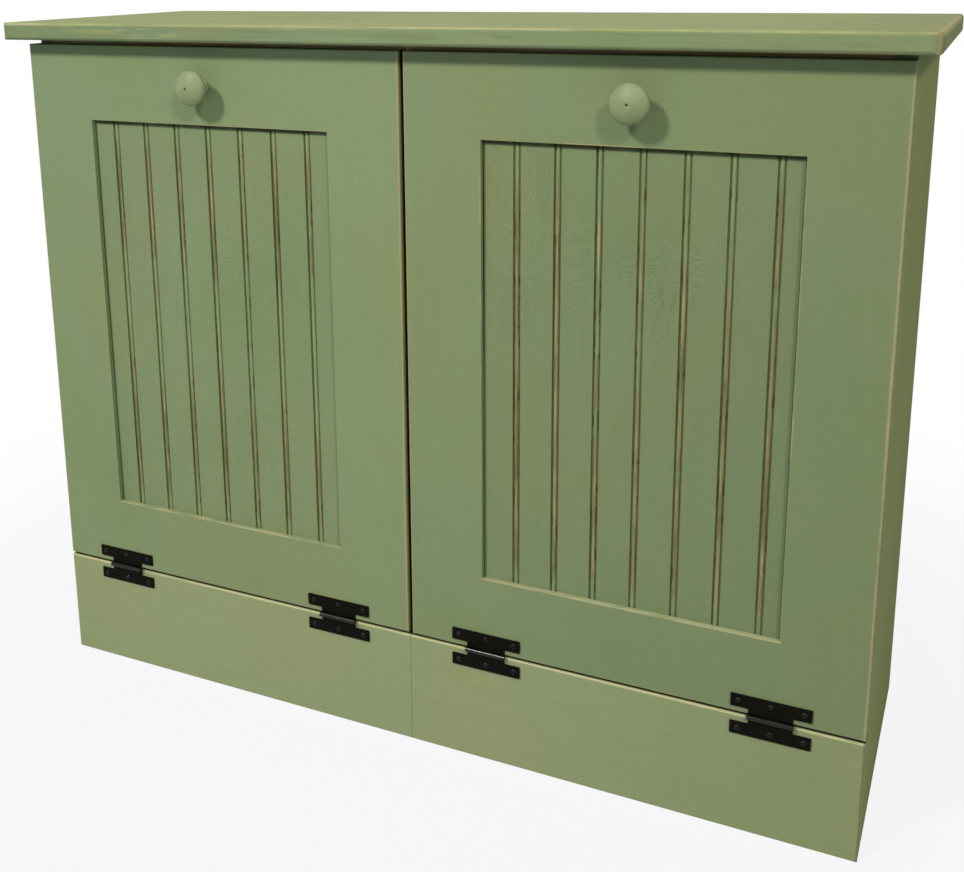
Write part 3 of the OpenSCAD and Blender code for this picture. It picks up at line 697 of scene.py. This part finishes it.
def makeKnob(side, material):
    shape = bmesh.new()
    corners = [shape.verts.new((r / 1000, -h / 1000, 0)) for r, h in knob["outline"]]
    edges = [shape.edges.new(pair) for pair in zip(corners, corners[1:])]
    bmesh.ops.spin(shape, geom=corners + edges, cent=(0, 0, 0), axis=(0, 1, 0), angle=2 * math.pi,
                   steps=knob["steps"], use_merge=True)
    bmesh.ops.remove_doubles(shape, verts=shape.verts, dist=1e-6)
    bmesh.ops.holes_fill(shape, edges=shape.edges, sides=0)
    bmesh.ops.recalc_face_normals(shape, faces=shape.faces)
    place = (doorCentre(side), layout["doorFront"], layout["knobHeight"])
    bmesh.ops.translate(shape, verts=shape.verts, vec=place)
    return addPiece(f"{side}_turned_knob", shape, material, f"{side}_door", [f"{side}_knob"])


knobFinish = knobPaint()
for side in ("left", "right"):
    makeKnob(side, knobFinish)
print("knobs done")


def uprightEdges(shape):
    return [e for e in shape.edges if abs(e.verts[0].co.z - e.verts[1].co.z) > 0.1]


# paint that has run into the seam between the base boards, in metres
seam = {
    "width": 0.00058,
    "depth": 0.003,
    "setBack": 0.0003,
    "foot": 0.004,
    "height": 0.1215,
    "rows": 36,
    "wave": 0.00015,
}


def makeSeamPaint():
    shape = bmesh.new()
    bmesh.ops.create_cube(shape, size=1.0)
    bmesh.ops.scale(shape, verts=shape.verts, vec=(seam["width"], seam["depth"], seam["height"]))
    bmesh.ops.subdivide_edges(shape, edges=uprightEdges(shape), cuts=seam["rows"], use_grid_fill=True)
    for v in shape.verts:
        if v.co.y < 0:
            # its front wavers where the paint ran
            v.co.y += seam["wave"] * math.sin(v.co.z * 260) * math.sin(v.co.z * 97 + 1)
    depth = layout["doorFront"] + seam["setBack"] + seam["depth"] / 2
    bmesh.ops.translate(shape, verts=shape.verts, vec=(0, depth, seam["foot"] + seam["height"] / 2))
    finish = wornPaint("seam paint", "z", [], looks["seam"])
    return addPiece("base_seam_paint", shape, finish, "cabinet", smooth=False)


makeSeamPaint()
print("seam paint done")


# waste bins: a moulded tub with a rolled rim, in metres
tub = {
    "width": 0.350,
    "depth": 0.222,
    "height": 0.484,
    "flare": 0.028,
    "corner": 0.028,
    "foot": 0.010,
    "wall": 0.0024,
    "rimOut": 0.005,
    "rim": ((0.4, 0), (0.8, 0.001), (1.0, 0.0035), (1.0, 0.014), (0.8, 0.01442)),  # part of rimOut, drop
    "middle": (0.23025, -0.0033, 0.146),
    "stepAt": 0.385,
    "stepHigh": 0.003,
    "stepOut": 0.0012,
    "underRim": 0.020,
}


def edgesWhere(shape, test):
    return [e for e in shape.edges if all(test(v.co) for v in e.verts)]


def rollRim(shape):
    # the rim goes out, down and a little back in
    edge = edgesWhere(shape, lambda co: co.z > tub["height"] - 1e-4)
    width = tub["width"] + tub["flare"]
    depth = tub["depth"] + tub["flare"]
    last = 0
    for part, drop in tub["rim"]:
        out = 2 * part * tub["rimOut"]
        new = bmesh.ops.extrude_edge_only(shape, edges=edge)["geom"]
        edge = [g for g in new if isinstance(g, bmesh.types.BMEdge)]
        for v in [g for g in new if isinstance(g, bmesh.types.BMVert)]:
            v.co.x *= (width + out) / (width + last)
            v.co.y *= (depth + out) / (depth + last)
            v.co.z = tub["height"] - drop
        last = out


def makeTub(side, material):
    shape = bmesh.new()
    bmesh.ops.create_cube(shape, size=1.0)
    bmesh.ops.scale(shape, verts=shape.verts, vec=(tub["width"], tub["depth"], tub["height"]))
    bmesh.ops.translate(shape, verts=shape.verts, vec=(0, 0, tub["height"] / 2))
    bmesh.ops.bevel(shape, geom=uprightEdges(shape), offset=tub["corner"], affect="EDGES", segments=8,
                    profile=0.5, material=-1)
    bmesh.ops.delete(shape, geom=[f for f in shape.faces if f.normal.z > 0.9], context="FACES")
    bottom = [e for e in edgesWhere(shape, lambda co: co.z < 0.001) if len(e.link_faces) == 2]
    bmesh.ops.bevel(shape, geom=bottom, offset=tub["foot"], affect="EDGES", segments=5, profile=0.5, material=-1)
    # a step under the rim, where stacked bins rest in each other
    for at in (tub["stepAt"], tub["stepAt"] + tub["stepHigh"], tub["height"] - tub["underRim"]):
        everything = shape.verts[:] + shape.edges[:] + shape.faces[:]
        bmesh.ops.bisect_plane(shape, geom=everything, plane_co=(0, 0, at), plane_no=(0, 0, 1), dist=1e-5)
    for v in shape.verts:
        stepped = tub["stepOut"] * 2 if v.co.z > tub["stepAt"] + 0.001 else 0
        wider = tub["flare"] * v.co.z / tub["height"] + stepped
        v.co.x *= 1 + wider / tub["width"]
        v.co.y *= 1 + wider / tub["depth"]
    rollRim(shape)
    bmesh.ops.recalc_face_normals(shape, faces=shape.faces)
    x, y, z = tub["middle"]
    bmesh.ops.translate(shape, verts=shape.verts, vec=(-x if side == "left" else x, y, z))
    piece = addPiece(f"{side}_moulded_bin", shape, material, f"{side}_door", [f"{side}_bin"])
    wall = piece.modifiers.new("wall", "SOLIDIFY")
    wall.thickness = tub["wall"]
    wall.offset = -1
    return piece


for side in ("left", "right"):
    makeTub(side, tubFinish)
print("bins done")


# floor and surroundings: white as the camera sees them, soft light for the cabinet
stage = {
    "floorSize": 14.0,
    "floorTint": "b3b7bc",
    "floorRough": 0.8,
    "whiteFrom": 0.5,
    "whiteTo": 1.2,
    "nearWhite": 0.87,
    "sky": (0.78, 0.97, 1.22, 1),
    "skyLight": 0.26,
}


def backdropRays(start):
    # rays that see the backdrop plain white: from the camera, and off gloss or through glass
    outputs = start.socket.node.outputs
    glossy = Wire(start.tree, outputs["Is Glossy Ray"])
    through = Wire(start.tree, outputs["Is Transmission Ray"])
    return start.most(glossy).most(through)


def makeFloor():
    mesh = bpy.data.meshes.new("floor")
    shape = bmesh.new()
    bmesh.ops.create_grid(shape, x_segments=1, y_segments=1, size=stage["floorSize"])
    shape.to_mesh(mesh)
    shape.free()
    floor = bpy.data.objects.new("floor", mesh)
    bpy.context.scene.collection.objects.link(floor)
    material, place = newMaterial("pale floor")
    distance = place.node("VectorMath", {"operation": "LENGTH"}, {0: place}, out="Value")
    away = distance.rise(stage["whiteFrom"], stage["whiteTo"])
    seen = backdropRays(place.node("LightPath", out="Is Camera Ray"))
    floorTint = colour(stage["floorTint"])
    lit = place.node("BsdfPrincipled", None, {"Base Color": floorTint, "Roughness": stage["floorRough"]})
    white = place.node("Emission", None, {"Color": (1, 1, 1, 1), "Strength": 1.0})
    whiteness = away * (1 - stage["nearWhite"]) + stage["nearWhite"]
    both = place.node("MixShader", None, {0: whiteness * seen, 1: lit, 2: white})
    place.node("OutputMaterial", None, {"Surface": both})
    mesh.materials.append(material)


def makeWorld():
    world = bpy.data.worlds.new("studio")
    bpy.context.scene.world = world
    world.use_nodes = True
    tree = world.node_tree
    tree.nodes.clear()
    start = Wire(tree, tree.nodes.new("ShaderNodeLightPath").outputs["Is Camera Ray"])
    soft = start.node("Background", None, {"Color": stage["sky"], "Strength": stage["skyLight"]})
    white = start.node("Background", None, {"Color": (1, 1, 1, 1), "Strength": 1.0})
    both = start.node("MixShader", None, {0: backdropRays(start), 1: soft, 2: white})
    start.node("OutputWorld", None, {"Surface": both})


lamps = {
    "key": {"at": (-1.55, -3.2, 3.55), "watts": 138.0, "size": 0.64, "tint": (1.0, 0.97, 0.95), "shines": True},
    "fill": {"at": (2.7, -3.05, 3.45), "watts": 82.0, "size": 0.64, "tint": (1.0, 0.955, 0.78), "shines": True},
    "low": {"at": (-0.3, -2.4, 0.5), "watts": 1.0, "size": 1.2, "tint": (0.8, 1.0, 1.2), "shines": False},
    "rear": {"at": (0.0, 3.4, 2.2), "watts": 30.0, "size": 1.8, "tint": (1.0, 1.0, 0.93), "shines": False},
}
lampAim = (0, -0.1, 0.4)


def makeLamps():
    for name, facts in lamps.items():
        data = bpy.data.lights.new(name, "AREA")
        data.energy = facts["watts"]
        data.shape = "DISK"
        data.size = facts["size"]
        data.color = facts["tint"]
        lamp = bpy.data.objects.new(name, data)
        bpy.context.scene.collection.objects.link(lamp)
        lamp.visible_camera = False
        lamp.visible_glossy = facts["shines"]
        lamp.location = facts["at"]
        aim = Vector(lampAim) - Vector(facts["at"])
        lamp.rotation_euler = aim.to_track_quat("-Z", "Y").to_euler()


camera = {
    "at": (0.5403, -1.2361, 0.8376),
    "turn": (76.880, 0.791, 25.399),
    "lens": 45.715,
    "sensor": 36,
    "shift": (0.0578, -0.1929),
    "nearest": 0.05,
}


def makeCamera():
    data = bpy.data.cameras.new("camera")
    data.sensor_width = camera["sensor"]
    data.lens = camera["lens"]
    data.shift_x, data.shift_y = camera["shift"]
    data.clip_start = camera["nearest"]
    item = bpy.data.objects.new("camera", data)
    bpy.context.scene.collection.objects.link(item)
    item.location = camera["at"]
    item.rotation_euler = [math.radians(a) for a in camera["turn"]]
    bpy.context.scene.camera = item
    bpy.context.scene.view_settings.view_transform = "Standard"


makeFloor()
makeWorld()
makeLamps()
makeCamera()
print("stage ready")
